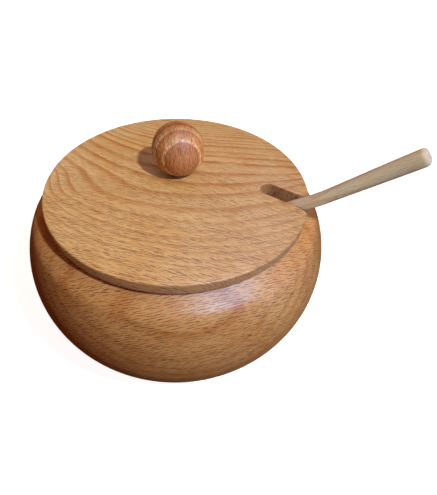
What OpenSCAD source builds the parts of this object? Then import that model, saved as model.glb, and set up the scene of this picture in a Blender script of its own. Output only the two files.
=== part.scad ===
// Turned wooden sugar bowl with a flat slotted lid, a ball knob and a serving spoon.
// Millimetres, +Z up. The origin is the centre of the flat base, on the surface it stands on.
// The slot and the spoon's handle run along +X.

/* [Bowl] */
// Widest diameter of the bowl
belly_d = 125; // [120:0.5:132]
// Height of the widest place above the base
belly_h = 31; // [29:0.5:34]
// Height of the rim above the base
bowl_h = 60; // [57:0.5:63]
// Height above the base where the side starts to turn in towards it
turn_h = 15.5; // [13:0.5:18]
// Thickness of the side wall
wall = 5; // [4:0.25:6]
// Thickness of the floor
floor_t = 6; // [5:0.25:7.5]
// Width by which the rim stands out past the lid, before its edge is rounded
rim_lip = 2; // [1.5:0.25:3]
// Radius that rounds the rim's outer edge
rim_round = 3; // [2:0.25:3.5]
// Radius that rounds the mouth's inner edge
mouth_round = 0.6; // [0.4:0.1:0.9]

/* [Lid] */
// Diameter of the lid
lid_d = 100; // [97:0.5:103]
// Thickness of the lid at its edge
lid_t = 4.5; // [3.5:0.25:6]
// Width of the ring on which the lid rests on the rim
lid_ledge = 2.5; // [2:0.25:3]
// Depth of the turned step under the lid that keeps it central in the mouth
step_h = 2.5; // [1.5:0.25:3.5]
// Gap all round between that step and the mouth
step_clear = 0.6; // [0.4:0.1:1]
// Gap between the lid and the rim it rests on
seat_clear = 0.2; // [0.1:0.05:0.4]
// Radius that eases the lid's edges
lid_round = 0.7; // [0.4:0.1:1.2]

/* [Slot] */
// Width of the slot for the spoon's handle
slot_w = 7; // [6:0.25:8]
// Distance of the slot's centre line from the bowl's axis
slot_y = 15.6; // [13:0.1:18]
// Distance of the slot's closed end from the bowl's axis, along the slot
slot_end = 27.5; // [23:0.5:28.5]
// Radius that eases the slot's corners where it opens at the lid's edge
slot_ease = 3; // [1:0.25:4]

/* [Knob] */
// Diameter of the ball knob
knob_d = 20; // [17:0.5:24]
// Diameter of the flat by which the ball sits on the lid
knob_seat_d = 6; // [5.8:0.1:8]
// Place of the knob from the bowl's axis, along the slot
knob_x = -4.2; // [-7:0.1:0]
// Place of the knob from the bowl's axis, across the slot
knob_y = 5; // [0:0.1:7]
// Diameter of the hidden dowel in the knob
dowel_d = 5; // [4:0.25:5.25]
// Depth of the dowel's hole in the knob
dowel_in_knob = 8; // [6:0.5:10]
// Depth of the dowel's hole in the lid
dowel_in_lid = 4.5; // [3:0.25:5]
// Chamfer at the dowel's ends
dowel_chamfer = 0.5; // [0.2:0.1:1]
// Glue gap round the dowel and at each of its ends
glue_gap = 0.05; // [0.03:0.01:0.15]

/* [Spoon] */
// Lean of the handle inside the bowl, from level
spoon_lean = 42; // [40:0.5:44]
// Further rise of the handle outside the bowl
handle_bend = 6.5; // [2:0.5:9]
// Length of the handle from its end to the bend
handle_out = 37; // [26:0.5:44]
// Length of the handle from the bend to the neck of the scoop
handle_in = 73.5; // [70:0.5:76]
// Thickness of the handle at its end
handle_end_t = 5.2; // [4:0.1:6]
// Thickness of the handle at its waist and down to the neck
handle_t = 4.5; // [3.5:0.1:5]
// Length over which the handle's end is rounded
end_round = 2.4; // [1.5:0.1:4]
// Length of the handle's bend at the rim
bend_l = 12; // [8:1:20]
// Length of the bend at the neck of the scoop
neck_l = 18; // [12:1:24]
// Gap on each side between the handle and the slot
handle_clear = 0.75; // [0.5:0.05:1]
// Length of the scoop
scoop_l = 30; // [26:0.5:33]
// Width of the scoop
scoop_w = 24; // [20:0.5:27]
// Depth of the scoop below its rim
scoop_h = 8; // [6:0.25:9]
// Thickness of the scoop's wall
scoop_wall = 2; // [1.5:0.1:2.5]
// Angle between the handle and the scoop
scoop_crank = 27; // [22:1:32]
// Gap between the spoon and the floor and mouth it leans on
spoon_clear = 0.3; // [0.2:0.05:0.5]

/* [Hidden] */

$fn = 96;
// Largest step of angle along a turned profile
arc_step = 8;
// Length by which cuts run past the solids
past = 5;
beech = "#c98f5b";
beech_bowl = "#b97a4a";
beech_knob = "#b56f42";
pale_wood = "#d3b489";

belly_r = belly_d / 2;
lid_r = lid_d / 2;
knob_r = knob_d / 2;
mouth_r = lid_r - lid_ledge;
// Radius of the arc that forms the side: upright at the widest place, it passes through the rim's edge
side_in = belly_r - lid_r - rim_lip;
side_arc = (pow(bowl_h - belly_h, 2) + pow(side_in, 2)) / (2 * side_in);
// Angle on that arc, below the widest place, where the side turns in towards the base
turn_angle = asin((belly_h - turn_h) / side_arc);
// Radius of the ring on which the centre of the side's arc lies
arc_axis = belly_r - side_arc;
side_centre = [arc_axis, belly_h];
lid_z = bowl_h + seat_clear;
lid_top = lid_z + lid_t;
// Drop of the ball's lowest point below its seat
knob_sunk = knob_r - sqrt(pow(knob_r, 2) - pow(knob_seat_d / 2, 2));

// Points of an arc about c, both ends included
function arc(c, r, from, to) =
    let (n = max(2, ceil(abs(to - from) / arc_step)))
    [for (i = [0:n]) let (a = from + (to - from) * i / n) c + r * [cos(a), sin(a)]];

// Radius of the arc that turns the side into a flat at height z, for a side arc of radius r
function turn_r(r, z) = (belly_h - z - r * sin(turn_angle)) / (1 - sin(turn_angle));

// Side and bottom of a turned wall, from its flat at height z up to the angle top on the side
function wall_line(r, z, top) =
    let (t = turn_r(r, z))
    let (c = side_centre + (r - t) * [cos(turn_angle), -sin(turn_angle)])
    concat(arc(c, t, -90, -turn_angle), arc(side_centre, r, -turn_angle, top));

// The list in the opposite order
function reverse(list) = [for (i = [len(list) - 1:-1:0]) list[i]];

// Smooth step from 0 to 1 as x goes from a to b
function ease(a, b, x) = let (t = min(1, max(0, (x - a) / (b - a)))) t * t * (3 - 2 * t);

// Larger of two values, with a rounded change from one to the other that a higher sharpness makes shorter
blend_sharpness = 4;
function soft_max(a, b) =
    pow(pow(a, blend_sharpness) + pow(b, blend_sharpness), 1 / blend_sharpness);

// Bowl: the centre of the rim's rounding lies at this distance and rise from the centre of the side's arc
rim_r = side_arc - rim_round;
rim_rise = bowl_h - rim_round - belly_h;
rim_angle = asin(rim_rise / rim_r);
rim_centre = [arc_axis + rim_r * cos(rim_angle), bowl_h - rim_round];
inner_arc = side_arc - wall;
// Angle on the inner wall where the straight land of the mouth starts
mouth_angle = min(acos((mouth_r - arc_axis) / inner_arc), asin((bowl_h - step_h - belly_h) / inner_arc));

function bowl_outline() = concat(
    [[0, 0]],
    wall_line(side_arc, 0, rim_angle),
    arc(rim_centre, rim_round, rim_angle, 90),
    arc([mouth_r + mouth_round, bowl_h - mouth_round], mouth_round, 90, 180),
    [[mouth_r, belly_h + inner_arc * sin(mouth_angle)]],
    reverse(wall_line(inner_arc, floor_t, mouth_angle)),
    [[0, floor_t]]
);

module bowl() {
    color(beech_bowl)
        rotate_extrude()
            polygon(bowl_outline());
}

// Lid
step_r = mouth_r - step_clear;

function lid_outline() = concat(
    [[0, lid_z - step_h], [step_r, lid_z - step_h], [step_r, lid_z]],
    arc([lid_r - lid_round, lid_z + lid_round], lid_round, -90, 0),
    arc([lid_r - lid_round, lid_top - lid_round], lid_round, 0, 90),
    [[0, lid_top]]
);

module slot_outline() {
    translate([slot_end + slot_w / 2, slot_y])
        circle(d = slot_w);
    translate([slot_end + slot_w / 2, slot_y - slot_w / 2])
        square([lid_r, slot_w]);
}

// Corner piece that is cut off so that a slot side at height y ends in a rounded corner at the lid's edge
module corner_cut(y, away) {
    c = [sqrt(pow(lid_r - slot_ease, 2) - pow(y + away * slot_ease, 2)), y + away * slot_ease];
    difference() {
        polygon([c, [c[0], y], [lid_r + past, y], c * (lid_r + past) / norm(c)]);
        translate(c)
            circle(r = slot_ease);
    }
}

module lid() {
    color(beech)
        difference() {
            rotate_extrude()
                polygon(lid_outline());
            translate([0, 0, lid_z - step_h - past])
                linear_extrude(lid_t + step_h + 2 * past) {
                    slot_outline();
                    corner_cut(slot_y - slot_w / 2, -1);
                    corner_cut(slot_y + slot_w / 2, 1);
                }
            translate([knob_x, knob_y, lid_top - dowel_in_lid])
                cylinder(d = dowel_d + 2 * glue_gap, h = dowel_in_lid + past);
        }
}

// Knob
module knob() {
    color(beech_knob)
        translate([knob_x, knob_y, lid_top])
            difference() {
                translate([0, 0, knob_r - knob_sunk])
                    sphere(r = knob_r);
                translate([-knob_r, -knob_r, -knob_d])
                    cube(knob_d);
                translate([0, 0, -past])
                    cylinder(d = dowel_d + 2 * glue_gap, h = past + dowel_in_knob);
            }
}

module knob_dowel() {
    dowel_r = dowel_d / 2;
    low = glue_gap - dowel_in_lid;
    high = dowel_in_knob - glue_gap;
    color(pale_wood)
        translate([knob_x, knob_y, lid_top])
            rotate_extrude()
                polygon([
                    [0, low],
                    [dowel_r - dowel_chamfer, low],
                    [dowel_r, low + dowel_chamfer],
                    [dowel_r, high - dowel_chamfer],
                    [dowel_r - dowel_chamfer, high],
                    [0, high]
                ]);
}

// Spoon: rings of points follow its length s from the handle's end to the scoop's tip
handle_w = slot_w - 2 * handle_clear;
scoop_start = handle_out + handle_in;
scoop_middle = scoop_start + scoop_l / 2;
// Length before the scoop over which the handle starts to change into it
swell_lead = neck_l / 4;
// Share of the handle's section that is left as a flat at its end
end_flat = 0.45;
// Share of a ring's width that its middle points span on the handle, and the least on the scoop's hollow
handle_span = 0.75;
least_span = 0.25;
// Squareness of the sections: 2 is an ellipse
handle_square = 2.5;
scoop_square = 8;
end_rings = 5;
handle_rings = 24;
scoop_rings = 24;
// Part of a half turn that the scoop's rings cover, so that the last one keeps some width
tip_angle = 174;
spoon_s = concat(
    [for (i = [0:end_rings - 1]) end_round * (1 - cos(i * 90 / end_rings))],
    [for (i = [0:handle_rings - 1]) end_round + (scoop_start - end_round) * i / handle_rings],
    [for (i = [0:scoop_rings]) scoop_start + scoop_l * (1 - cos(i * tip_angle / scoop_rings)) / 2]
);

// Place along the scoop, from -1 at the neck to 1 at the tip, and its outline there
function scoop_u(s) = max(-1, 2 * (s - scoop_start) / scoop_l - 1);
function oval(u) = sqrt(max(0, 1 - pow(u, 2)));
// Share of the handle's own section that is left at s
function handle_share(s) = 1 - ease(scoop_start - swell_lead, scoop_middle, s);
function mix(handle, scoop, s) = handle * handle_share(s) + scoop * (1 - handle_share(s));
function end_share(s) = end_flat + (1 - end_flat) * oval(max(0, 1 - s / end_round));
function thickness(s) = handle_end_t + (handle_t - handle_end_t) * ease(end_round, handle_out, s);

function half_width(s) =
    end_share(s) * soft_max(handle_w / 2 * handle_share(s), scoop_w / 2 * oval(scoop_u(s)));
function above(s) = end_share(s) * mix(thickness(s) / 2, scoop_wall / 2, s);
function below(s) =
    end_share(s) * soft_max(thickness(s) / 2 * handle_share(s), scoop_h * oval(scoop_u(s)));
// Outline of the hollow along the scoop, half its width, and its depth below the rim's top
function hollow_oval(s) = oval(scoop_u(s) * scoop_l / (scoop_l - 2 * scoop_wall));
function hollow_half(s) =
    let (w = half_width(s))
    mix(w * handle_span, max(w * least_span, (scoop_w / 2 - scoop_wall) * hollow_oval(s)), s);
function hollow_h(s) = (scoop_h - scoop_wall / 2) * hollow_oval(s) * (1 - handle_share(s));

// Height of a rounded edge at the distance y from the middle of a section of half width w
function crown(y, w, square) = pow(max(0, 1 - pow(abs(y) / w, square)), 1 / square);

// Lean of the spoon's centre line from level at s
function heading(s) =
    spoon_lean
    + handle_bend * (1 - ease(handle_out - bend_l / 2, handle_out + bend_l / 2, s))
    - scoop_crank * ease(scoop_start - neck_l / 2, scoop_start + neck_l / 2, s);

// Step of the centre line from the ring before ring i, along the lean half-way between them
function line_step(i) =
    let (a = heading((spoon_s[i - 1] + spoon_s[i]) / 2))
    (spoon_s[i] - spoon_s[i - 1]) * [-cos(a), -sin(a)];

// Centre line in the plane of the slot, from the handle's end at [0, 0] down and inwards
ring_count = len(spoon_s);
spoon_line = [
    for (i = 0, p = [0, 0]; i < ring_count; i = i + 1, p = i < ring_count ? p + line_step(i) : p) p
];

// One ring as [across, up] from the centre line: over the top, where the hollow is, then round below
edge_points = 4;
hollow_points = 10;
belly_points = 14;
function section(s) =
    let (w = half_width(s), half = hollow_half(s))
    let (side = [for (k = [0:edge_points - 1]) half + (w - half) * cos(k * 90 / edge_points)])
    let (top = concat(
        side,
        [for (k = [0:hollow_points]) half * cos(k * 180 / hollow_points)],
        -reverse(side)
    ))
    let (square = mix(handle_square, scoop_square, s))
    concat(
        [for (y = top) [y, above(s) * crown(y, w, square) - hollow_h(s) * oval(y / half)]],
        [
            for (k = [1:belly_points - 1])
                let (y = -w * cos(k * 180 / belly_points))
                [y, -below(s) * crown(y, w, handle_square)]
        ]
    );

function ring(i) =
    let (p = spoon_line[i], a = heading(spoon_s[i]))
    [for (q = section(spoon_s[i])) [p[0] - q[1] * sin(a), q[0], p[1] + q[1] * cos(a)]];

// The spoon before it is set down, then the move that lays its heel on the floor
// and the straight part of its handle on the mouth's edge
loose_rings = [for (i = [0:ring_count - 1]) ring(i)];
lowest = min([for (r = loose_rings, q = r) q[2]]);
drop = floor_t + spoon_clear - lowest;
straight_i = len([for (s = spoon_s) if (s < handle_out + bend_l) s]);
// Distance from the handle's middle to where its rounded underside meets the mouth's edge
contact_out = handle_w / 4;
rest_x = sqrt(pow(mouth_r, 2) - pow(slot_y + contact_out, 2)) - spoon_clear;
under_x = spoon_line[straight_i][0]
    + (bowl_h - drop - spoon_line[straight_i][1]) / tan(spoon_lean)
    + handle_t / 2 / sin(spoon_lean);
spoon_move = [rest_x - under_x, slot_y, drop];

module spoon() {
    n = len(loose_rings[0]);
    points = [for (r = loose_rings, q = r) q + spoon_move];
    sides = [
        for (i = [0:ring_count - 2], j = [0:n - 1])
            let (a = i * n + j, b = i * n + (j + 1) % n)
            each [[a, b, a + n], [b, b + n, a + n]]
    ];
    first_end = [for (j = [1:n - 2]) [0, j + 1, j]];
    last_end = [for (j = [1:n - 2]) (ring_count - 1) * n * [1, 1, 1] + [0, j, j + 1]];
    color(pale_wood)
        polyhedron(points, concat(sides, first_end, last_end));
}

bowl();
lid();
knob();
knob_dowel();
spoon();
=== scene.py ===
"""A lidded sugar bowl in turned beech, with its spoon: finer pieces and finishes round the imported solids.

Lengths are in metres and angles in degrees. +Z is up along the bowl's axis, and +X runs along the lid's slot.
"""

import logging
from collections.abc import Callable, Mapping, Sequence
from dataclasses import dataclass
from enum import Enum
from functools import partial
from math import acos, asin, atan2, ceil, cos, degrees, hypot, pi, radians, sin, sqrt, tau

import bmesh
import bpy
from mathutils import Matrix, Quaternion, Vector


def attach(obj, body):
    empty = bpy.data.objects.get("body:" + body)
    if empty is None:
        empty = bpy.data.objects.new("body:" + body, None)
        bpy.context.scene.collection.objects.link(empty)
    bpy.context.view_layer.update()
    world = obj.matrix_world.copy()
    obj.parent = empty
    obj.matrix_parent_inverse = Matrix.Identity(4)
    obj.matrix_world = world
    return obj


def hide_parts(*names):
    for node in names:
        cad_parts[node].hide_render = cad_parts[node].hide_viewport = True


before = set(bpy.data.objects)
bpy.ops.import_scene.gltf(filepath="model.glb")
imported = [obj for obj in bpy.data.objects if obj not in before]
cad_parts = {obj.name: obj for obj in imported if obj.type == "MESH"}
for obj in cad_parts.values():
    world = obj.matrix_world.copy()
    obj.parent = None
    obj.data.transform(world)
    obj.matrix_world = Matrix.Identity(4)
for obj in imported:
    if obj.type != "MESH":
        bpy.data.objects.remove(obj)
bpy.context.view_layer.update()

MM = 0.001
LOG = logging.getLogger("sugar_bowl")

# The viewer of the photograph stands this far round from the front: the slot points to the right and towards them.
VIEWER_AZIMUTH = 36.7

# Fineness of the meshes: step of an arc, steps of a turn, and distance at which points are welded.
ARC_STEP = 3.0
LATHE_STEPS = 192
WELD = 0.001 * MM
# Edges that turn by more than this stay sharp, and faces as level as this stay flat.
SHARP_EDGE = 40.0
LEVEL = 0.99999

# Noise seldom comes near 0 or 1, so each layer of the wood reads its noise between two values.
CLOUD_SPAN = (0.35, 0.7)
PATCH_SPAN = (0.3, 0.6)
STREAK_SPAN = (0.45, 0.75)
PORE_SPAN = (0.45, 0.8)
# Share of the late wood that is left in a faded patch and in a weak year, and how fast the width of years changes.
PATCH_LEFT = 0.5
WEAK_YEAR = 0.6
YEAR_PACE = 0.4
# Share of a ring at which it is darkest, and over which the heart wood ends.
DARKEST = 0.9
HEART_EDGE = 0.04

# Shift of one row of flecks against the next, so that they don't stack, their scatter and their steepest slope.
FLECK_STAGGER = 0.37
FLECK_SCATTER = 0.6
FLECK_TILT = 0.12
# Share of a fleck where its soft edge starts, strength of the faintest fleck, and chance that makes one full.
FLECK_EDGE = 0.7
FLECK_FAINT = 0.4
FLECK_FULL = 0.7
# Flecks fade where the cut runs along the rays, which would show as broad flakes: far side, and low near side.
FLAKE_SPANS = ((0.3, 0.9), (-0.965, -0.99))
# Range in which a face that turns across the fibres darkens, or one that turns from level to upright.
END_SPAN = (0.55, 1.0)
EDGE_SPAN = (0.8, 0.1)
# Change of roughness from the smoothest streak to the roughest, and strength of the grooves.
ROUGH_SPAN = (-0.06, 0.08)
GROOVE_STRENGTH = 0.5

Point = tuple[float, float]
Triple = tuple[float, float, float]
Mesh = bpy.types.Mesh
Piece = bpy.types.Object
Socket = bpy.types.NodeSocket
Adder = Callable[..., Socket]


class Lights(Enum):
    """What a studio light does on the wood: light its colour, lie on it as a sheen, or both."""

    COLOUR = "colour"
    SHEEN = "sheen"
    BOTH = "both"


class Body(Enum):
    """Moving parts of the sugar bowl."""

    BOWL = "bowl"
    LID = "lid"
    SPOON = "spoon"


def seen(right: float, away: float, up: float) -> Vector:
    """Turns a direction or place as the viewer sees it into the object's frame."""
    return Matrix.Rotation(radians(VIEWER_AZIMUTH), 3, "Z") @ Vector((right, away, up))


def linear(colour: str) -> tuple[float, float, float, float]:
    """Turns an sRGB hex colour into linear red, green, blue and alpha.

    Args:
        colour: Colour such as "#c89665".

    Returns:
        Linear values from 0 to 1, with full alpha.
    """
    shares = [int(colour[i:i + 2], 16) / 255 for i in (1, 3, 5)]
    red, green, blue = (s / 12.92 if s <= 0.04045 else ((s + 0.055) / 1.055) ** 2.4 for s in shares)
    return red, green, blue, 1.0


def between(start: float, end: float) -> dict[str, float]:
    """Names the two values that a map range reads between."""
    return {"From Min": start, "From Max": end}


def add_node(
    tree: bpy.types.NodeTree, kind: str, inputs: Mapping | Sequence = (), output: int | str = 0, **settings: object,
) -> Socket | None:
    """Adds a node, gives it its settings, and fills or links its inputs.

    Args:
        tree: Tree that gets the node.
        kind: Type of the node, for shader nodes without their prefix, and its operation after a space.
        inputs: Values and sockets in the order of the node's inputs, or by their names or numbers.
        output: Name or number of the output that is wanted.
        settings: Properties of the node.

    Returns:
        The wanted output, or None where the node has no outputs.
    """
    kind, _, operation = kind.partition(" ")
    node = tree.nodes.new(kind if "Node" in kind else "ShaderNode" + kind)
    if operation:
        node.operation = operation
    for key, value in settings.items():
        setattr(node, key, value)
    for key, value in inputs.items() if isinstance(inputs, Mapping) else enumerate(inputs):
        if isinstance(value, Socket):
            tree.links.new(value, node.inputs[key])
        else:
            node.inputs[key].default_value = value
    return node.outputs[output] if node.outputs else None


def polar(centre: Point, radius: float, angle: float) -> Point:
    """Gives the point of a round at an angle."""
    return centre[0] + radius * cos(radians(angle)), centre[1] + radius * sin(radians(angle))


def arc(centre: Point, radius: float, start: float, end: float) -> list[Point]:
    """Gives the points of an arc.

    Args:
        centre: Centre of the arc.
        radius: Radius of the arc.
        start: Angle of the first point.
        end: Angle of the last point.

    Returns:
        Points from the first to the last, at most ARC_STEP apart.
    """
    steps = max(4, ceil(abs(end - start) / ARC_STEP))
    return [polar(centre, radius, start + (end - start) * i / steps) for i in range(steps + 1)]


def close_up(mesh: Mesh) -> None:
    """Welds doubled points, points the faces outwards and shades all but sharp edges and level faces smooth.

    Args:
        mesh: Mesh of a closed piece.
    """
    shape = bmesh.new()
    shape.from_mesh(mesh)
    bmesh.ops.remove_doubles(shape, verts=shape.verts[:], dist=WELD)
    bmesh.ops.dissolve_degenerate(shape, edges=shape.edges[:], dist=WELD)
    bmesh.ops.recalc_face_normals(shape, faces=shape.faces[:])
    for face in shape.faces:
        face.smooth = abs(face.normal.z) < LEVEL
    shape.to_mesh(mesh)
    shape.free()
    mesh.set_sharp_from_angle(angle=radians(SHARP_EDGE))


def add_piece(name: str, mesh: Mesh) -> Piece:
    """Links a mesh into the scene as a piece.

    Args:
        name: Name of the piece.
        mesh: Mesh with its place in its points.

    Returns:
        The new object, at the origin.
    """
    piece = bpy.data.objects.new(name, mesh)
    bpy.context.scene.collection.objects.link(piece)
    return piece


def skin(name: str, rings: Sequence[Sequence[Triple]], finish: bpy.types.Material) -> Piece:
    """Lays a closed skin over a row of rings, with a flat face on the first and the last.

    Args:
        name: Name of the piece.
        rings: Rings of as many points each.
        finish: Material of the piece.

    Returns:
        The finished piece.
    """
    count, last = len(rings[0]), (len(rings) - 1) * len(rings[0])
    faces = [
        (k + i, k + count + i, k + count + (i + 1) % count, k + (i + 1) % count)
        for k in range(0, last, count) for i in range(count)]
    faces += [tuple(range(count)), tuple(reversed(range(last, last + count)))]
    mesh = bpy.data.meshes.new(name)
    mesh.from_pydata([point for ring in rings for point in ring], [], faces)
    close_up(mesh)
    mesh.materials.append(finish)
    return add_piece(name, mesh)


class Lathe:
    """Geometry Nodes tree that turns an outline about an upright axis, as a wood lathe does."""

    INPUTS = {"Outline": "Geometry", "Steps": "Int", "Axis": "Vector", "Weld": "Float", "Finish": "Material"}

    def __init__(self) -> None:
        """Builds the tree: a grid of outline points by steps, whose rows are wrapped round the axis."""
        self.tree = bpy.data.node_groups.new("lathe", "GeometryNodeTree")
        for name, kind in self.INPUTS.items():
            self.tree.interface.new_socket(name, in_out="INPUT", socket_type="NodeSocket" + kind)
        self.tree.interface.new_socket("Piece", in_out="OUTPUT", socket_type="NodeSocketGeometry")
        node = partial(add_node, self.tree)
        given = node("NodeGroupInput").node.outputs
        count = node("GeometryNodeAttributeDomainSize", [given["Outline"]], "Point Count", component="MESH")
        around = node("Math ADD", [given["Steps"], 1.0])
        grid = node("GeometryNodeMeshGrid", {"Vertices X": count, "Vertices Y": around})
        index = node("GeometryNodeInputIndex")
        row = node("Math FLOOR", [node("Math DIVIDE", [index, around])])
        share = node("Math DIVIDE", [node("Math MODULO", [index, around]), given["Steps"]])
        angle = node("Math MULTIPLY", [share, tau])
        point = node(
            "GeometryNodeSampleIndex",
            {"Geometry": given["Outline"], "Value": node("GeometryNodeInputPosition"), "Index": row},
            data_type="FLOAT_VECTOR")
        turned = node("VectorRotate", {"Vector": point, "Angle": angle}, rotation_type="Z_AXIS")
        wrapped = node("GeometryNodeSetPosition", {"Geometry": grid, "Position": turned, "Offset": given["Axis"]})
        welded = node("GeometryNodeMergeByDistance", {"Geometry": wrapped, "Distance": given["Weld"]})
        real = node("GeometryNodeRealizeInstances", [welded])
        finished = node("GeometryNodeSetMaterial", {"Geometry": real, "Material": given["Finish"]})
        node("NodeGroupOutput", [finished])

    def turn(self, name: str, outline: Sequence[Point], axis: Point, finish: bpy.types.Material) -> Piece:
        """Turns one piece.

        Args:
            name: Name of the piece.
            outline: Radius and height of each point, from the axis back to the axis.
            axis: Place of the upright axis in plan.
            finish: Material of the piece.

        Returns:
            The piece as a plain closed mesh.
        """
        line = bpy.data.meshes.new(name + "_outline")
        line.from_pydata([(r, 0.0, z) for r, z in outline], [(i, i + 1) for i in range(len(outline) - 1)], [])
        piece = add_piece(name, line)
        modifier = piece.modifiers.new("lathe", "NODES")
        modifier.node_group = self.tree
        sizes = {"Steps": LATHE_STEPS, "Axis": (*axis, 0.0), "Weld": WELD, "Finish": finish}
        for socket in self.tree.interface.items_tree:
            if socket.name in sizes:
                modifier[socket.identifier] = sizes[socket.name]
        evaluated = piece.evaluated_get(bpy.context.evaluated_depsgraph_get())
        mesh = bpy.data.meshes.new_from_object(evaluated)
        mesh.materials.clear()
        mesh.materials.append(finish)
        piece.modifiers.clear()
        piece.data = mesh
        bpy.data.meshes.remove(line)
        close_up(mesh)
        return piece


@dataclass(frozen=True)
class Beech:
    """Steamed beech, turned or carved, then sanded and oiled.

    It gives the eye a warm satin wood with dark dashes. The pattern is solid, so rings, fibres and rays run through
    a piece as its cut lays them bare. Fibres and pores are drawn coarser than the real ones, so that they show.

    Attributes:
        name: Name of the material.
        fibre, growth: Ways that the fibres run, and that one growth ring follows another.
        centre: Place that the pattern is laid out from.
        pale, body, late: Colours of the spring wood, of the wood after it and of the line that ends a ring.
        fleck, cut: Colours of the ray flecks, and of wood that is cut across the fibres; on the lid's edge and the
            spoon's ends it is partly a painted reflection.
        ring_pitch, pith: Width of a growth ring, and distance from the centre to the heart of the log.
        wander, wave: How far rings stray, and in waves how long along the fibre, along the ray and across.
        ring_shift: Number of rings that the pattern is shifted by.
        ring_strength, patch: How strongly the late wood shows, and size of the patches in which it fades.
        late_from, line_edge: Share of a ring after which it darkens, and in which its late wood ends.
        spring_to, spring_strength: Share of a ring at which its spring wood ends, and how strongly that shows.
        feather, year_spread: Share of a ring by which fibres fray its edge, and how unevenly wide rings are.
        heart, heart_to: How strongly the darker heart wood shows, on the knob partly as painted shade, and number of
            the ring at which it ends.
        fleck_cell, fleck_half: Room of a fleck along the fibre, along the ray and across, and half its size.
        fleck_strength, flake_share: How strongly flecks show, and share left where the cut runs along the rays.
        cloud, streak, pore: Sizes of the paler clouds, of a streak of fibres and of a pore.
        streak_strength, pore_strength, cut_strength: How strongly fibres, pores and end grain show.
        groove, roughness, gloss: Depth of the finest grooves, roughness of the wood, strength of its reflection.
    """

    name: str
    fibre: Vector
    growth: Vector
    centre: Triple = (0.0, 0.0, 0.0)
    pale: str = "#d9a774"
    body: str = "#c8925f"
    late: str = "#a8662f"
    fleck: str = "#6e3c1c"
    cut: str = "#6e3c1c"
    ring_pitch: float = 4 * MM
    pith: float = 120 * MM
    wander: float = 1.2 * MM
    wave: Triple = (45 * MM, 16 * MM, 16 * MM)
    ring_shift: float = 0.0
    ring_strength: float = 0.6
    late_from: float = 0.4
    line_edge: float = 0.06
    patch: float = 14 * MM
    spring_to: float = 0.4
    spring_strength: float = 0.5
    feather: float = 0.3
    heart: float = 0.0
    heart_to: float = -1.0
    year_spread: float = 1.0
    fleck_cell: Triple = (2.6 * MM, 3.4 * MM, 0.7 * MM)
    fleck_half: Triple = (1.5 * MM, 2.4 * MM, 0.13 * MM)
    fleck_strength: float = 1.0
    flake_share: float = 1.0
    cloud: float = 18 * MM
    streak: Triple = (5 * MM, 0.5 * MM, 0.5 * MM)
    streak_strength: float = 0.6
    pore: float = 0.5 * MM
    pore_strength: float = 0.25
    cut_strength: float = 0.35
    groove: float = 0.05 * MM
    roughness: float = 0.42
    gloss: float = 0.5

    def axes(self) -> tuple[Vector, Vector, Vector]:
        """Works out the wood's own axes.

        Returns:
            The ways along the fibre, along the rays and across, square to one another.
        """
        along = self.fibre.normalized()
        across = along.cross(self.growth).normalized()
        return along, across.cross(along), across

    def lay(self, node: Adder) -> Socket:
        """Turns the piece's own coordinates into places in the log, whose rays run out from its heart.

        Args:
            node: Adds a node.

        Returns:
            Places along the fibre, outwards along the rays and round the heart, in metres.
        """
        turn = Matrix(self.axes())
        whole = node("TexCoord", output="Object")
        place = node(
            "Mapping", {"Vector": whole, "Location": -(turn @ Vector(self.centre)), "Rotation": turn.to_euler()})
        parts = node("SeparateXYZ", [place]).node.outputs
        from_pith = node("Math ADD", [parts["Y"], self.pith])
        radius = node("VectorMath LENGTH", [node("CombineXYZ", {"Y": from_pith, "Z": parts["Z"]})], "Value")
        depth = node("Math SUBTRACT", [radius, self.pith])
        around = node("Math MULTIPLY", [node("Math ARCTAN2", [parts["Z"], from_pith]), self.pith])
        return node("CombineXYZ", [parts["X"], depth, around])

    def stray(self, node: Adder, place: Socket) -> Socket:
        """Lets the rings stray in slow waves, longer along the fibre than across it, by a distance in metres."""
        wave = node("TexNoise", {"Vector": node("VectorMath DIVIDE", [place, self.wave]), "Scale": 1.0, "Detail": 2.0})
        return node("MapRange", {"Value": wave, "To Min": -self.wander, "To Max": self.wander})

    def ring_depth(self, node: Adder, place: Socket) -> Socket:
        """Measures how deep in the log a place is, in growth rings from the pattern's centre."""
        strayed = node("Math ADD", [node("SeparateXYZ", [place], "Y"), self.stray(node, place)])
        return node("Math MULTIPLY_ADD", [strayed, 1 / self.ring_pitch, self.ring_shift])

    def ring_fade(self, node: Adder, place: Socket) -> Socket:
        """Lets the late wood fade in patches along a ring, and gives the share that is left."""
        patches = node("TexNoise", {"Vector": place, "Scale": 1 / self.patch, "Detail": 1.0})
        return node("MapRange", {"Value": patches, **between(*PATCH_SPAN), "To Min": PATCH_LEFT})

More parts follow.
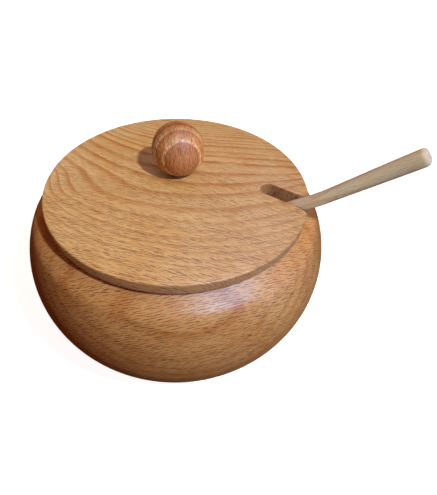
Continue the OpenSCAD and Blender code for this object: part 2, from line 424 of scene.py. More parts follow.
    def ring_tones(self, node: Adder, place: Socket, streak: Socket) -> tuple[Socket, Socket]:
        """Draws the rings: pale spring wood that darkens slowly to a line, stronger in some years than in others.

        Args:
            node: Adds a node.
            place: Places in the log.
            streak: Share of streak, which frays the lines.

        Returns:
            Share of spring wood and share of late wood, each from 0 to 1.
        """
        depth = self.ring_depth(node, place)
        years = node("TexNoise", {"W": depth, "Scale": YEAR_PACE, "Detail": 0.0}, noise_dimensions="1D")
        depth = node("Math MULTIPLY_ADD", [years, self.year_spread, depth])
        depth = node("Math MULTIPLY_ADD", [streak, self.feather, depth])
        phase = node("Math FRACT", [depth])
        rise, fall = (
            node("MapRange", {"Value": phase, **between(*span)}, interpolation_type="SMOOTHSTEP")
            for span in ((self.late_from, DARKEST), (1.0, 1 - self.line_edge)))
        luck = node("TexWhiteNoise", {"W": node("Math FLOOR", [depth])}, noise_dimensions="1D")
        strength = node(
            "MapRange", {"Value": luck, "To Min": WEAK_YEAR * self.ring_strength, "To Max": self.ring_strength})
        strength = node("Math MULTIPLY", [strength, self.ring_fade(node, place)])
        late = node("Math MULTIPLY", [node("Math MULTIPLY", [rise, fall]), strength])
        spring = node(
            "MapRange", {"Value": phase, "From Max": self.spring_to, "To Min": self.spring_strength, "To Max": 0.0})
        heart = node(
            "MapRange",
            {"Value": depth, **between(self.heart_to, self.heart_to + HEART_EDGE), "To Min": self.heart, "To Max": 0.0})
        return spring, node("Math MAXIMUM", [late, heart])

    def flecks(self, node: Adder, place: Socket) -> Socket:
        """Draws the rays: thin upright sheets that a flat cut shows as short dashes along the fibre.

        Args:
            node: Adds a node.
            place: Places in the log.

        Returns:
            Share of fleck from 0 to 1.
        """
        parts = node("SeparateXYZ", [node("VectorMath DIVIDE", [place, self.fleck_cell])]).node.outputs
        along = node("Math MULTIPLY_ADD", [parts["Z"], FLECK_STAGGER, parts["X"]])
        cells = node("CombineXYZ", [along, parts["Y"], parts["Z"]])
        room = node("TexVoronoi", {"Vector": cells, "Scale": 1.0, "Randomness": FLECK_SCATTER}).node.outputs
        chance = node("SeparateColor", [room["Color"]]).node.outputs
        shares = [cell / half for cell, half in zip(self.fleck_cell, self.fleck_half)]
        offset = node("VectorMath MULTIPLY", [node("VectorMath SUBTRACT", [cells, room["Position"]]), shares])
        parts = node("SeparateXYZ", [offset]).node.outputs
        most = FLECK_TILT * self.fleck_half[0] / self.fleck_half[2]
        tilt = node("MapRange", {"Value": chance["Green"], "To Min": -most, "To Max": most})
        across = node("Math MULTIPLY_ADD", [parts["X"], tilt, parts["Z"]])
        reach = node("VectorMath LENGTH", [node("CombineXYZ", [parts["X"], parts["Y"], across])], "Value")
        lens = node("MapRange", {"Value": reach, **between(1.0, FLECK_EDGE)}, interpolation_type="SMOOTHSTEP")
        strength = node("MapRange", {"Value": chance["Red"], **between(0.0, FLECK_FULL), "To Min": FLECK_FAINT})
        facing = node("VectorMath DOT_PRODUCT", [node("TexCoord", output="Normal"), -self.axes()[2]], "Value")
        for span in FLAKE_SPANS:
            left = node("MapRange", {"Value": facing, **between(*span), "To Min": 1.0, "To Max": self.flake_share})
            strength = node("Math MULTIPLY", [strength, left])
        return node("Math MULTIPLY", [lens, strength])

    def end_grain(self, node: Adder) -> Socket:
        """Finds where the cut crosses the fibres, which drinks more oil and looks darker; on the spoon its colour is
        instead a painted pale sheen.
        """
        facing = node("VectorMath DOT_PRODUCT", [node("TexCoord", output="Normal"), self.axes()[0]], "Value")
        return node(
            "MapRange", {"Value": node("Math ABSOLUTE", [facing]), **between(*END_SPAN), "To Max": self.cut_strength})

    def material(self) -> bpy.types.Material:
        """Builds the material, whose layers lie over the colour of its body one after another.

        Returns:
            The finished material.
        """
        material = bpy.data.materials.new(self.name)
        material.use_nodes = True
        material.node_tree.nodes.clear()
        node = partial(add_node, material.node_tree)
        place = self.lay(node)
        fibres = node("VectorMath DIVIDE", [place, self.streak])
        streak = node("TexNoise", {"Vector": fibres, "Scale": 1.0, "Detail": 4.0, "Roughness": 0.65})
        fleck = self.flecks(node, place)
        spring, late = self.ring_tones(node, place, streak)
        cloud = node("TexNoise", {"Vector": place, "Scale": 1 / self.cloud, "Detail": 2.0})
        pores = node("TexNoise", {"Vector": place, "Scale": 1 / self.pore, "Detail": 0.0})
        clouded, streaked, pored = (
            node("MapRange", {"Value": noise, **between(*span), "To Max": most})
            for noise, span, most in (
                (cloud, CLOUD_SPAN, 1.0), (streak, STREAK_SPAN, self.streak_strength),
                (pores, PORE_SPAN, self.pore_strength)))
        flecked = node("Math MULTIPLY", [fleck, self.fleck_strength])
        colour = linear(self.body)
        for share, tint in (
            (clouded, self.pale), (spring, self.pale), (late, self.late), (streaked, self.late), (pored, self.late),
            (flecked, self.fleck), (self.end_grain(node), self.cut),
        ):
            colour = node("Mix", {0: share, 6: colour, 7: linear(tint)}, 2, data_type="RGBA")
        least, most = (self.roughness + change for change in ROUGH_SPAN)
        rough = node("MapRange", {"Value": streak, "To Min": least, "To Max": most})
        sunk = node("Math SUBTRACT", [streak, fleck])
        normal = node("Bump", {"Strength": GROOVE_STRENGTH, "Distance": self.groove, "Height": sunk}, "Normal")
        surface = node(
            "BsdfPrincipled",
            {"Base Color": colour, "Roughness": rough, "Normal": normal, "Specular IOR Level": self.gloss})
        node("OutputMaterial", {"Surface": surface})
        return material


@dataclass(frozen=True)
class LidBeech(Beech):
    """Beech board cut near the flat of the log, whose rings sweep over it in wide uneven bows.

    Places are measured from the middle of the board, as the viewer sees it.

    Attributes:
        bow_at, bow, bow_far: How far to the right the bows turn, their bend, and their further bend far from there.
        flat_at, flat_pitch: How far away the cut grazes the rings, and the width of a ring there.
        crowd: Distance over which the rings close up to half their width.
        back, lean: How far away the bows start and end to give way to a slope, and that slope.
        dip: How far a ring shifts for each length down through the board.
        faint_at, faint: How far away the late wood is faintest, and the share of it that is left there.
        fine, fine_share: How far away the flecks start and end to fade, and the share of them that is left.
    """

    cut_strength: float = 0.5
    bow_at: float = 12 * MM
    bow: float = 0.0057 / MM
    bow_far: float = 0.58e-6 / MM ** 3
    flat_pitch: float = 9 * MM
    flat_at: float = -4 * MM
    crowd: float = 22 * MM
    back: Point = (-8 * MM, 10 * MM)
    lean: float = -0.13
    dip: float = 0.6
    faint: float = 0.35
    faint_at: float = -42 * MM
    fine: Point = (-10 * MM, 35 * MM)
    fine_share: float = 0.4

    def viewed(self, node: Adder) -> Mapping[str, Socket]:
        """Measures the place on the board as the viewer sees it: X right of the bows' turn, Y away and Z up."""
        plan = node("Mapping", {
            "Vector": node("TexCoord", output="Object"), "Rotation": (0.0, 0.0, -radians(VIEWER_AZIMUTH)),
            "Location": (-self.bow_at, 0.0, -self.centre[2])})
        return node("SeparateXYZ", [plan]).node.outputs

    def ring_fade(self, node: Adder, place: Socket) -> Socket:
        """Lets the late wood fade towards the viewer's edge of the board, besides in patches."""
        left = node("MapRange", {"Value": self.viewed(node)["Y"], **between(self.faint_at, 0.0), "To Min": self.faint})
        return node("Math MULTIPLY", [left, super().ring_fade(node, place)])

    def flecks(self, node: Adder, place: Socket) -> Socket:
        """Lets the flecks fade towards the far edge of the board, where the cut meets the rays less squarely."""
        fade = {**between(*self.fine), "To Min": 1.0, "To Max": self.fine_share}
        left = node("MapRange", {"Value": self.viewed(node)["Y"], **fade})
        return node("Math MULTIPLY", [left, super().flecks(node, place)])

    def ring_depth(self, node: Adder, place: Socket) -> Socket:
        """Measures the depth in the log from the bows that the rings draw on the board.

        Args:
            node: Adds a node.
            place: Places in the log.

        Returns:
            Number of growth rings from where the cut grazes them.
        """
        parts = self.viewed(node)
        back = node("MapRange", {"Value": parts["Y"], **between(*self.back)}, interpolation_type="SMOOTHSTEP")
        front = node("Math SUBTRACT", [1.0, back])
        across = node("Math MULTIPLY_ADD", [parts["Z"], self.dip, parts["Y"]])
        for side, share in (("MINIMUM", 1.0), ("MAXIMUM", front)):
            reach = node("Math " + side, [parts["X"], 0.0])
            square = node("Math MULTIPLY", [reach, reach])
            bend = node("Math MULTIPLY", [node("Math MULTIPLY_ADD", [square, self.bow_far, self.bow]), square])
            across = node("Math SUBTRACT", [across, node("Math MULTIPLY", [bend, share])])
        lean = node("Math MULTIPLY", [node("Math MULTIPLY", [parts["X"], self.lean]), back])
        across = node("Math SUBTRACT", [across, lean])
        across = node("Math ADD", [across, self.stray(node, place)])
        across = node("Math SUBTRACT", [across, self.flat_at])
        square = node("Math MULTIPLY", [across, across])
        crowding = node(
            "Math MULTIPLY_ADD", [square, 1 / (3 * self.flat_pitch * self.crowd ** 2), 1 / self.flat_pitch])
        return node("Math MULTIPLY", [across, crowding])

    def end_grain(self, node: Adder) -> Socket:
        """Finds the sawn edge of the board, which drinks more oil than its face and looks darker; the cool mauve of its
        colour is a painted reflection on the edge and the slot walls.
        """
        level = node("Math ABSOLUTE", [node("SeparateXYZ", [node("TexCoord", output="Normal")], "Z")])
        return node("MapRange", {"Value": level, **between(*EDGE_SPAN), "To Max": self.cut_strength})


@dataclass
class TurnedBowl:
    """The squat bowl: a wall of even thickness that swells to a belly and draws in to the rim."""

    belly_r: float = 62.5 * MM
    belly_h: float = 31 * MM
    height: float = 60 * MM
    turn_h: float = 15.5 * MM
    wall: float = 5 * MM
    floor_t: float = 6 * MM
    lid_r: float = 50 * MM
    rim_lip: float = 2 * MM
    # The rim ends here, and the shoulder falls away from it, so that the lid stands over a dark gap.
    rim_edge: Point = (48.4 * MM, 58.4 * MM)
    rim_round: float = 0.8 * MM
    shoulder_round: float = 8 * MM
    shoulder_face: float = 60.0
    mouth_r: float = 47.5 * MM
    mouth_round: float = 0.6 * MM
    step_h: float = 2.5 * MM

    def __post_init__(self) -> None:
        """Works out the arc that draws the side of the bowl."""
        rise, inset = self.height - self.belly_h, self.belly_r - self.lid_r - self.rim_lip
        self.side_arc = (rise ** 2 + inset ** 2) / (2 * inset)
        self.side_centre = (self.belly_r - self.side_arc, self.belly_h)
        self.turn = degrees(asin((self.belly_h - self.turn_h) / self.side_arc))

    def wall_line(self, radius: float, low: float, top: float) -> list[Point]:
        """Draws one face of the wall, from the flat below it to near the rim.

        Args:
            radius: Radius of the side's arc.
            low: Height of the flat that the wall turns into.
            top: Angle at which the side's arc ends.

        Returns:
            Points of the line, upwards.
        """
        sine = sin(radians(self.turn))
        small = (self.belly_h - low - radius * sine) / (1 - sine)
        centre = polar(self.side_centre, radius - small, -self.turn)
        return arc(centre, small, -90, -self.turn) + arc(self.side_centre, radius, -self.turn, top)[1:]

    def outline(self) -> list[Point]:
        """Draws the bowl's outline.

        Returns:
            Points from the middle of the base round the rim to the middle of the floor.
        """
        inner_r, bend_r = self.side_arc - self.wall, self.side_arc - self.shoulder_round
        face = Vector(polar((0.0, 0.0), 1.0, self.shoulder_face))
        reach = face.dot(Vector(self.rim_edge) - Vector(self.side_centre)) + self.rim_round
        bend_angle = self.shoulder_face - degrees(acos((reach - self.shoulder_round) / bend_r))
        bend_centre = polar(self.side_centre, bend_r, bend_angle)
        mouth_angle = min(
            degrees(acos((self.mouth_r - self.side_centre[0]) / inner_r)),
            degrees(asin((self.height - self.step_h - self.belly_h) / inner_r)))
        mouth_centre = (self.mouth_r + self.mouth_round, self.height - self.mouth_round)
        return [
            (0.0, 0.0),
            *self.wall_line(self.side_arc, 0.0, bend_angle),
            *arc(bend_centre, self.shoulder_round, bend_angle, self.shoulder_face)[1:],
            *arc(self.rim_edge, self.rim_round, self.shoulder_face, 90),
            *arc(mouth_centre, self.mouth_round, 90, 180),
            (self.mouth_r, polar(self.side_centre, inner_r, mouth_angle)[1]),
            *reversed(self.wall_line(inner_r, self.floor_t, mouth_angle)),
            (0.0, self.floor_t),
        ]

    def finish(self) -> Beech:
        """Oiled beech turned from a block: a golden ground, slow dark bows, many short dashes and a soft sheen."""
        return Beech(
            "turned_beech", seen(0.985, 0.12, 0.12), seen(0.0, -0.6, 0.8), centre=tuple(seen(0.0, -46 * MM, 48 * MM)),
            pale="#e5c086", body="#daac70", late="#b66c28", fleck="#582406", cut="#5c2e10", ring_pitch=4.4 * MM,
            pith=200 * MM, ring_strength=0.6, line_edge=0.2, spring_strength=0.2,
            fleck_cell=(3 * MM, 4.2 * MM, 0.72 * MM), fleck_half=(1.8 * MM, 3.2 * MM, 0.125 * MM),
            fleck_strength=0.9, flake_share=0.15, roughness=0.36)

    def build(self, lathe: Lathe) -> Piece:
        """Turns the bowl on the lathe."""
        return lathe.turn("turned_bowl", self.outline(), (0.0, 0.0), self.finish().material())

    def dress(self, piece: Piece) -> None:
        """Puts the piece in the place of the bowl's solid.

        Args:
            piece: The turned bowl.
        """
        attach(piece, Body.BOWL.value)
        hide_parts("bowl")


@dataclass
class Lid:
    """The flat round lid with a step under it and an open slot for the spoon."""

    radius: float = 50 * MM
    under: float = 60.2 * MM
    top: float = 64.7 * MM
    edge_round: float = 0.7 * MM
    step_r: float = 46.9 * MM
    step_h: float = 2.5 * MM
    slot_w: float = 7 * MM
    slot_y: float = 15.6 * MM
    slot_end: float = 27.5 * MM
    slot_ease: float = 3 * MM
    slot_round: float = 0.35 * MM
    # The slot's finer rounding grows into that of the rim over this distance.
    blend: float = 2 * MM
    round_steps: int = 6
    wall_steps: int = 32

    def plan(self) -> list[Point]:
        """Draws the lid's plan.

        Returns:
            Points round the rim, in along the slot, round its end and out again.
        """
        inner = self.radius - self.slot_ease
        middle = self.slot_end + self.slot_w / 2
        near, far = self.slot_y - self.slot_w / 2, self.slot_y + self.slot_w / 2
        corners = [
            (sqrt(inner ** 2 - y ** 2), y) for y in (near - self.slot_ease, far + self.slot_ease)]
        starts = [degrees(atan2(y, x)) for x, y in corners]
        walls = [
            [(x + (middle - x) * i / self.wall_steps, y) for i in range(1, self.wall_steps)]
            for x, y in ((corners[0][0], near), (corners[1][0], far))]
        return [
            *arc((0.0, 0.0), self.radius, starts[1], starts[0] + 360)[:-1],
            *arc(corners[0], self.slot_ease, starts[0], 90),
            *walls[0],
            *arc((middle, self.slot_y), self.slot_w / 2, -90, -270),
            *reversed(walls[1]),
            *arc(corners[1], self.slot_ease, -90, starts[1])[:-1],
        ]

    def rings(self) -> list[list[Triple]]:
        """Stacks the plan into rings, from the rounded top edge down to the bottom of the step.

        Returns:
            Rings of as many points each, from the top down.
        """
        plan = self.plan()
        inward = []
        for (x0, y0), (x1, y1) in zip(plan[-1:] + plan[:-1], plan[1:] + plan[:1]):
            length = hypot(x1 - x0, y1 - y0)
            inward.append(((y0 - y1) / length, (x1 - x0) / length))
        rim = [min(1.0, max(0.0, (hypot(x, y) - self.step_r) / self.blend)) for x, y in plan]
        clipped = [min(1.0, self.step_r / hypot(x, y)) for x, y in plan]
        upper = [self.slot_round + (self.edge_round - self.slot_round) * share for share in rim]
        lower = [self.edge_round * share for share in rim]
        quarter = [radians(90 * i / self.round_steps) for i in range(self.round_steps + 1)]
        stack = []
        for level, up, rounds, angles in ((self.top, -1, upper, quarter[::-1]), (self.under, 1, lower, quarter)):
            for angle in angles:
                inset, sink = 1 - cos(angle), up * (1 - sin(angle))
                stack.append([
                    (x + n * r * inset, y + m * r * inset, level + r * sink)
                    for (x, y), (n, m), r in zip(plan, inward, rounds)])
        for height, inset in ((0.0, 0.0), (self.slot_round - self.step_h, 0.0), (-self.step_h, self.slot_round)):
            stack.append([
                (x * c + n * inset, y * c + m * inset, self.under + height)
                for (x, y), (n, m), c in zip(plan, inward, clipped)])
        return stack

    def finish(self) -> Beech:
        """Flat-cut beech board: wide orange bows over pale straw, and upright rays that show as dashes."""
        # The cut colour darkens the sawn edge as oil does, and its cool mauve is a painted reflection on the upright
        # edge and slot walls.
        return LidBeech(
            "flat_cut_beech", seen(0.95, -0.31, 0.0), Vector((0.0, 0.0, 1.0)), centre=(0.0, 0.0, self.top),
            pale="#e2ca92", body="#d8b674", late="#b86c14", fleck="#6a2a00", cut="#b08c7c", ring_strength=1.0,
            late_from=0.45, spring_strength=0.6, feather=0.4, wander=1.6 * MM,
            fleck_cell=(2.8 * MM, 1.8 * MM, 0.64 * MM), fleck_half=(1.9 * MM, 1 * MM, 0.115 * MM),
            streak_strength=0.5)

    def build(self) -> Piece:
        """Builds the lid from its rings, with a level face above and below."""
        return skin("flat_lid", self.rings(), self.finish().material())

    def dress(self, piece: Piece) -> None:
        """Puts the piece in the place of the lid's solid.

        Args:
            piece: The lid.
        """
        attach(piece, Body.LID.value)
        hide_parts("lid")


@dataclass
class Knob:
    """The ball knob, flat and bored below, and the raw dowel that holds it to the lid."""

    radius: float = 10 * MM
    seat_r: float = 3 * MM
    bore_r: float = 2.55 * MM
    bore_depth: float = 8 * MM
    axis: Point = (-4.2 * MM, 5 * MM)
    seat_z: float = 64.7 * MM

    def outline(self) -> list[Point]:
        """Draws the ball's outline.

        Returns:
            Points from the top of the bore, round the flat seat and up to the crown.
        """
        seat_angle = -degrees(acos(self.seat_r / self.radius))
        centre = self.seat_z - self.radius * sin(radians(seat_angle))
        bore_top = self.seat_z + self.bore_depth
        return [
            (0.0, bore_top), (self.bore_r, bore_top), (self.bore_r, self.seat_z),
            *arc((0.0, centre), self.radius, seat_angle, 90),
        ]

    def finish(self) -> Beech:
        """Redder beech turned with its fibres upright: the rings close to a dark eye on the ball's near side, whose
        darkness is partly heart wood and partly painted shade.
        """
        # The heart darkens the eye on the ball's near side: partly heart wood, partly painted shade of a ball lit more
        # from above.
        return Beech(
            "ball_turned_beech", Vector((0.0, 0.0, 1.0)), seen(-0.17, 0.98, 0.0),
            centre=(*self.axis, self.seat_z + self.radius), pale="#ffe8bc", body="#e69438", late="#ae5812",
            fleck="#6a3210", ring_pitch=4.2 * MM, pith=40 * MM, wander=0.3 * MM, ring_shift=0.62,
            ring_strength=1.0, late_from=0.3, line_edge=0.04, spring_to=0.25, spring_strength=1.0, feather=0.1,
            heart=0.6, streak_strength=0.9, year_spread=0.0, fleck_cell=(2.6 * MM, 3 * MM, 0.4 * MM),
            fleck_half=(1.6 * MM, 1.8 * MM, 0.11 * MM), fleck_strength=0.9, roughness=0.38, gloss=0.3)

    def build(self, lathe: Lathe) -> Piece:
        """Turns the ball on the lathe."""
        return lathe.turn("ball_knob", self.outline(), self.axis, self.finish().material())

    def dress(self, piece: Piece) -> None:
        """Puts the ball in the place of its solid, and gives the dowel its raw wood.

        Args:
            piece: The ball.
        """
        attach(piece, Body.LID.value)
        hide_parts("knob")
        # Raw beech rod: dull and evenly pale.
        raw = Beech(
            "raw_dowel_beech", Vector((0.0, 0.0, 1.0)), Vector((1.0, 0.0, 0.0)), pale="#dcb98f", body="#d0a97c",
            ring_pitch=2 * MM, roughness=0.7)
        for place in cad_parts["knob_dowel"].material_slots:
            place.material = raw.material()


@dataclass
class Spoon:
    """The carved spoon: a handle that leans out of the slot, a bent neck and a deep round scoop."""

    lean: float = 42.0
    bend: float = 6.5
    crank: float = 27.0
    handle_w: float = 5.5 * MM
    handle_out: float = 37 * MM
    handle_in: float = 73.5 * MM
    end_t: float = 5.2 * MM
    handle_t: float = 4.5 * MM
    end_round: float = 1.6 * MM
    end_flat: float = 0.66
    bend_l: float = 12 * MM
    neck_l: float = 18 * MM
    scoop_l: float = 30 * MM
    scoop_w: float = 24 * MM
    scoop_h: float = 8 * MM
    scoop_wall: float = 2 * MM
    tip: Triple = (74.283 * MM, 15.6 * MM, 95.880 * MM)
    # Powers that square off the handle's section and the scoop's lip, and that join the one to the other.
    handle_power: float = 2.5
    lip_power: float = 8.0
    join_power: float = 4.0
    # Shares of the half width that stay open: least in the scoop, and on the handle.
    least_open: float = 0.25
    handle_open: float = 0.75
    # The scoop is drawn up to this angle of its round, just short of a point.
    scoop_turn: float = 177.0
    path_step: float = 0.25 * MM
    ring_step: float = 1 * MM
    end_steps: int = 10
    scoop_steps: int = 60
    lip_steps: int = 8
    hollow_steps: int = 24
    belly_steps: int = 40

    def __post_init__(self) -> None:
        """Works out where the scoop starts and where its middle is."""
        self.scoop_start = self.handle_out + self.handle_in
        self.scoop_middle = self.scoop_start + self.scoop_l / 2

    @staticmethod
    def ease(start: float, end: float, at: float) -> float:
        """Gives a smooth rise from 0 at the start to 1 at the end."""
        share = min(1.0, max(0.0, (at - start) / (end - start)))
        return share * share * (3 - 2 * share)

    @staticmethod
    def oval(share: float) -> float:
        """Gives the half width of a round at a share of its half length."""
        return sqrt(max(0.0, 1 - share * share))

    @staticmethod
    def crown(side: float, half: float, power: float) -> float:
        """Gives the height of a rounded section at a distance from its middle, 1 in the middle and 0 at its side."""
        return max(0.0, 1 - min(1.0, abs(side) / half) ** power) ** (1 / power)

    def heading(self, at: float) -> float:
        """Works out how steeply the spoon runs down.

        Args:
            at: Distance from the tip along the spoon.

        Returns:
            Its slope in radians.
        """
        straight = self.ease(self.handle_out - self.bend_l / 2, self.handle_out + self.bend_l / 2, at)
        cranked = self.ease(self.scoop_start - self.neck_l / 2, self.scoop_start + self.neck_l / 2, at)
        return radians(self.lean + self.bend * (1 - straight) - self.crank * cranked)

    def stations(self) -> list[float]:
        """Chooses where sections are drawn, closer together at both ends.

        Returns:
            Distances from the tip along the spoon.
        """
        quarter = radians(90) / self.end_steps
        ends = [self.end_round * (1 - cos(quarter * i)) for i in range(self.end_steps)]
        count = round((self.scoop_start - self.end_round) / self.ring_step)
        handle = [self.end_round + (self.scoop_start - self.end_round) * i / count for i in range(1, count)]
        turn = radians(self.scoop_turn) / self.scoop_steps
        scoop = [
            self.scoop_middle - self.scoop_l / 2 * cos(turn * i) for i in range(self.scoop_steps + 1)]
        return ends + handle + scoop

    def section(self, at: float) -> list[Point]:
        """Draws the spoon's section.

        Args:
            at: Distance from the tip along the spoon.

        Returns:
            Side and height of each point, over the top and back below.
        """
        along = max(-1.0, 2 * (at - self.scoop_start) / self.scoop_l - 1)
        share = 1 - self.ease(self.scoop_start - self.neck_l / 4, self.scoop_middle, at)
        end = self.end_flat + (1 - self.end_flat) * self.oval(max(0.0, 1 - at / self.end_round))
        thick = self.end_t + (self.handle_t - self.end_t) * self.ease(self.end_round, self.handle_out, at)
        half, below = (
            end * ((stick / 2 * share) ** self.join_power + scoop ** self.join_power) ** (1 / self.join_power)
            for stick, scoop in (
                (self.handle_w, self.scoop_w / 2 * self.oval(along)), (thick, self.scoop_h * self.oval(along))))
        above = end * (thick / 2 * share + self.scoop_wall / 2 * (1 - share))
        hollow = self.oval(along * self.scoop_l / (self.scoop_l - 2 * self.scoop_wall))
        open_half = max(self.least_open * half, (self.scoop_w / 2 - self.scoop_wall) * hollow)
        open_half = self.handle_open * half * share + open_half * (1 - share)
        depth = (self.scoop_h - self.scoop_wall / 2) * hollow * (1 - share)
        power = self.handle_power * share + self.lip_power * (1 - share)
        lip = [
            open_half + (half - open_half) * cos(pi / 2 * i / self.lip_steps)
            for i in range(self.lip_steps)]
        floor = [open_half * cos(pi * i / self.hollow_steps) for i in range(self.hollow_steps + 1)]
        top = [
            (side, above * self.crown(side, half, power) - depth * self.oval(min(1.0, abs(side) / open_half)))
            for side in lip + floor + [-side for side in reversed(lip)]]
        sides = [-half * cos(pi * i / self.belly_steps) for i in range(1, self.belly_steps)]
        return top + [(side, -below * self.crown(side, half, self.handle_power)) for side in sides]

    def rings(self) -> list[list[Triple]]:
        """Sweeps the sections along the spoon's centre line.

        Returns:
            Rings of as many points each, from the tip to the scoop.
        """
        forward, up, last = 0.0, 0.0, 0.0
        rings = []
        for at in self.stations():
            steps = max(1, ceil((at - last) / self.path_step))
            for i in range(steps):
                slope = self.heading(last + (at - last) * (i + 0.5) / steps)
                forward -= cos(slope) * (at - last) / steps
                up -= sin(slope) * (at - last) / steps
            last, slope = at, self.heading(at)
            rings.append([
                (self.tip[0] + forward - h * sin(slope), self.tip[1] + side,
                 self.tip[2] + up + h * cos(slope))
                for side, h in self.section(at)])
        return rings

    def finish(self) -> Beech:
        """Raw sanded beech: dull, pale and plain but for a few reddish lines along the handle, with a painted pale blue
        sheen on its end faces.
        """
        lean = radians(self.lean)
        # The pale blue-white cut colour is a painted sheen on the end faces, not the darker end grain.
        return Beech(
            "raw_spoon_beech", Vector((cos(lean), 0.0, sin(lean))),
            Vector((-sin(lean) * 0.5, -0.8, cos(lean) * 0.5)), centre=self.tip, pale="#ecead0",
            body="#e4dcba", late="#cca078", fleck="#a87c54", cut="#e4ecff", ring_pitch=2.6 * MM, pith=60 * MM,
            wander=0.8 * MM, ring_strength=0.5, fleck_strength=0.3, streak_strength=0.3, pore_strength=0.1,
            roughness=0.6)

    def build(self) -> Piece:
        """Builds the spoon from its rings, with a small face at each end."""
        return skin("carved_spoon", self.rings(), self.finish().material())

    def dress(self, piece: Piece) -> None:
        """Puts the piece in the place of the spoon's solid.

        Args:
            piece: The spoon.
        """
        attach(piece, Body.SPOON.value)
        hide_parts("spoon")


@dataclass(frozen=True)
class SoftLight:
    """One square studio light.

    Attributes:
        name: Name of the light.
        towards, distance: Direction as the viewer sees it, and distance, from the lid's centre to the light.
        strength: Light that reaches the lid, in watts for each square metre.
        size, colour: Side of the light, and its colour.
        does, only: What it does on the wood, and the pieces that it lights, where it lights no others.
        even: Whether it is as strong far from it as near it.
        aim: Place that it is turned to, from the lid's centre as the viewer sees it.
    """

    name: str
    towards: Triple
    distance: float
    strength: float
    size: float
    colour: str
    does: Lights = Lights.BOTH
    only: tuple[str, ...] = ()
    even: bool = False
    aim: Triple = (0.0, 0.0, 0.0)

    def hang(self, centre: Vector) -> None:
        """Hangs the light and turns it to its aim.

        Args:
            centre: Centre of the lid.
        """
        towards = seen(*self.towards).normalized()
        turned = (self.distance * towards - seen(*self.aim)).normalized()
        lamp = bpy.data.lights.new(self.name, "AREA")
        lamp.size = self.size
        lamp.color = linear(self.colour)[:3]
        lamp.energy = self.strength * pi * self.distance ** 2 / towards.dot(turned)
        if self.even:
            lamp.use_nodes = True
            tree = lamp.node_tree
            steady = add_node(tree, "LightFalloff", {"Strength": self.distance ** -2}, "Constant")
            tree.links.new(steady, tree.nodes["Emission"].inputs["Strength"])
        holder = bpy.data.objects.new(self.name, lamp)
        holder.location = centre + self.distance * towards
        holder.rotation_euler = turned.to_track_quat("Z", "Y").to_euler()
        holder.visible_diffuse = self.does is not Lights.SHEEN
        holder.visible_glossy = self.does is not Lights.COLOUR
        if self.only:
            lit = bpy.data.collections.new(self.name)
            for name in self.only:
                lit.objects.link(bpy.data.objects[name])
            holder.light_linking.receiver_collection = lit
        bpy.context.scene.collection.objects.link(holder)


# The small near lamp, as the shadows of ball and handle show it. It stands here twice: once for the bowl alone.
LAMP_AT = (0.407, -0.467, 0.785)
LAMP_DISTANCE = 0.334
LAMP_SIZE = 0.018
LIGHTS = (
    SoftLight(
        "lamp", LAMP_AT, LAMP_DISTANCE, 2.24, LAMP_SIZE, "#fff7ee", Lights.COLOUR,
        ("flat_lid", "ball_knob", "carved_spoon", "floor"), even=True, aim=(-1.2, 0.7, 0.0)),
    SoftLight(
        "bowl_lamp", LAMP_AT, LAMP_DISTANCE, 2.04, LAMP_SIZE, "#fff7ec", Lights.COLOUR,
        ("turned_bowl",), even=True, aim=(0.04, -0.03, 0.0)),
    SoftLight("side_window", (0.37, -0.44, 0.76), 0.9, 4.2, 0.4, "#70b6ff", Lights.SHEEN),
    SoftLight("low_window", (0.9, -0.38, 0.2), 2.0, 1.3, 1.8, "#a8ccff"),
    SoftLight("overhead", (0.12, 0.0, 0.99), 0.9, 1.1, 0.3, "#fff0e0", Lights.SHEEN),
    SoftLight("back_window", (0.25, 0.42, 0.87), 0.9, 1.1, 0.35, "#98caff", Lights.SHEEN),
    SoftLight("spoon_fill", (-0.66, -0.6, 0.46), 0.9, 1.1, 0.3, "#ecf6ff", Lights.COLOUR, ("carved_spoon",)),
    SoftLight(
        "front_fill", (0.45, -0.88, 0.05), 0.9, 0.18, 0.5, "#ffe8c0", Lights.COLOUR, ("turned_bowl", "ball_knob")),
    SoftLight("edge_fill", (-0.25, -0.96, 0.06), 0.9, 0.36, 0.3, "#ffe8e0", Lights.COLOUR, ("flat_lid",)),
    SoftLight("far_window", (0.1, 0.92, 0.38), 1.2, 1.2, 0.6, "#ffe6cc", Lights.COLOUR, ("turned_bowl",)),
    SoftLight(
        "left_window", (-0.62, 0.52, 0.6), 0.2, 0.55, 0.1, "#b0dcff", Lights.COLOUR, ("flat_lid", "ball_knob")),
)


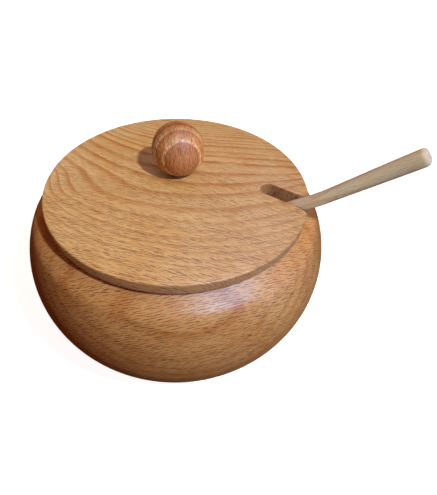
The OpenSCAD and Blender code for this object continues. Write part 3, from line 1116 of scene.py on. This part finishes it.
@dataclass
class Studio:
    """The pale floor, the lights, the room and the camera at the photograph's place."""

    photo_size: Point = (437.0, 495.0)
    focal_pixels: float = 330.0
    lid_pixel: Point = (180.362, 180.298)
    lid_centre: Triple = (0.0, 0.0, 64.7 * MM)
    distance: float = 131.84 * MM
    elevation: float = 36.610
    roll: float = -1.2027
    sensor: float = 36.0
    nearest: float = 5 * MM
    floor_half: float = 3.0
    floor_drop: float = 0.2 * MM
    floor_colour: str = "#f6f5f2"
    floor_glow: float = 0.9
    floor_roughness: float = 0.95
    # The room is brightest in this direction, as the viewer sees it, and fades over this span away from it.
    room_from: Triple = (0.35, 0.4, 0.85)
    room_span: Point = (0.25, 1.0)
    room_dim: str = "#6c2a06"
    room_bright: str = "#ffae74"
    room_strength: float = 0.48
    backdrop: str = "#fdfdfb"

    def add_floor(self) -> None:
        """Lays the floor, which shows but throws no light up under the bowl."""
        half = self.floor_half
        mesh = bpy.data.meshes.new("floor")
        mesh.from_pydata(
            [(x * half, y * half, -self.floor_drop) for x, y in ((-1, -1), (1, -1), (1, 1), (-1, 1))],
            [], [(0, 1, 2, 3)])
        # Matt white paper: a plain pale ground that takes the shadow and shows no sheen.
        material = bpy.data.materials.new("matt_white_paper")
        material.use_nodes = True
        surface = material.node_tree.nodes["Principled BSDF"].inputs
        surface["Base Color"].default_value = linear(self.floor_colour)
        surface["Roughness"].default_value = self.floor_roughness
        surface["Emission Color"].default_value = linear("#ffffff")
        surface["Emission Strength"].default_value = self.floor_glow
        mesh.materials.append(material)
        floor = add_piece("floor", mesh)
        floor.visible_diffuse = False
        floor.visible_glossy = False

    def add_world(self) -> None:
        """Surrounds the bowl with warm light from above and behind, and shows a white backdrop to the camera."""
        world = bpy.data.worlds.new("pale_room")
        world.use_nodes = True
        world.node_tree.nodes.clear()
        node = partial(add_node, world.node_tree)
        way = seen(*self.room_from).normalized()
        facing = node("VectorMath DOT_PRODUCT", [node("TexCoord", output="Generated"), way], "Value")
        share = node("MapRange", {"Value": facing, **between(*self.room_span)})
        colour = node(
            "Mix", {0: share, 6: linear(self.room_dim), 7: linear(self.room_bright)}, 2, data_type="RGBA")
        room = node("Background", {"Color": colour, "Strength": self.room_strength})
        backdrop = node("Background", {"Color": linear(self.backdrop), "Strength": 1.0})
        view = node("LightPath", output="Is Camera Ray")
        node("OutputWorld", [node("MixShader", [view, room, backdrop])])
        bpy.context.scene.world = world

    def add_camera(self) -> None:
        """Puts the camera where the photograph was taken from."""
        scene = bpy.context.scene
        lens = bpy.data.cameras.new("photo_camera")
        lens.sensor_width = self.sensor
        lens.lens = self.focal_pixels * self.sensor / max(self.photo_size)
        lens.clip_start = self.nearest
        elevation = radians(self.elevation)
        towards = seen(0.0, -cos(elevation), sin(elevation))
        off = [(p - s / 2) / self.focal_pixels for p, s in zip(self.lid_pixel, self.photo_size)]
        swing = Vector((0.0, 0.0, -1.0)).rotation_difference(Vector((off[0], -off[1], -1.0)))
        turn = (-towards).to_track_quat("-Z", "Y") @ Quaternion((0.0, 0.0, 1.0), radians(self.roll))
        camera = bpy.data.objects.new("photo_camera", lens)
        camera.matrix_world = (
            Matrix.Translation(Vector(self.lid_centre) + self.distance * towards)
            @ (turn @ swing.inverted()).to_matrix().to_4x4())
        scene.collection.objects.link(camera)
        scene.camera = camera
        scene.view_settings.view_transform = "Standard"

    def build(self) -> None:
        """Sets up floor, lights, room and camera."""
        self.add_floor()
        for light in LIGHTS:
            light.hang(Vector(self.lid_centre))
        self.add_world()
        self.add_camera()


def main() -> None:
    """Builds and dresses each piece in order, then the studio."""
    logging.basicConfig(level=logging.INFO, format="%(name)s: %(message)s")
    lathe = Lathe()
    bowl, lid, knob, spoon = TurnedBowl(), Lid(), Knob(), Spoon()
    for part, piece in (
        (bowl, bowl.build(lathe)), (lid, lid.build()), (knob, knob.build(lathe)), (spoon, spoon.build()),
    ):
        part.dress(piece)
        LOG.info("%s: %d faces, %s", piece.name, len(piece.data.polygons), piece.data.materials[0].name)
    Studio().build()


if __name__ == "__main__":
    main()
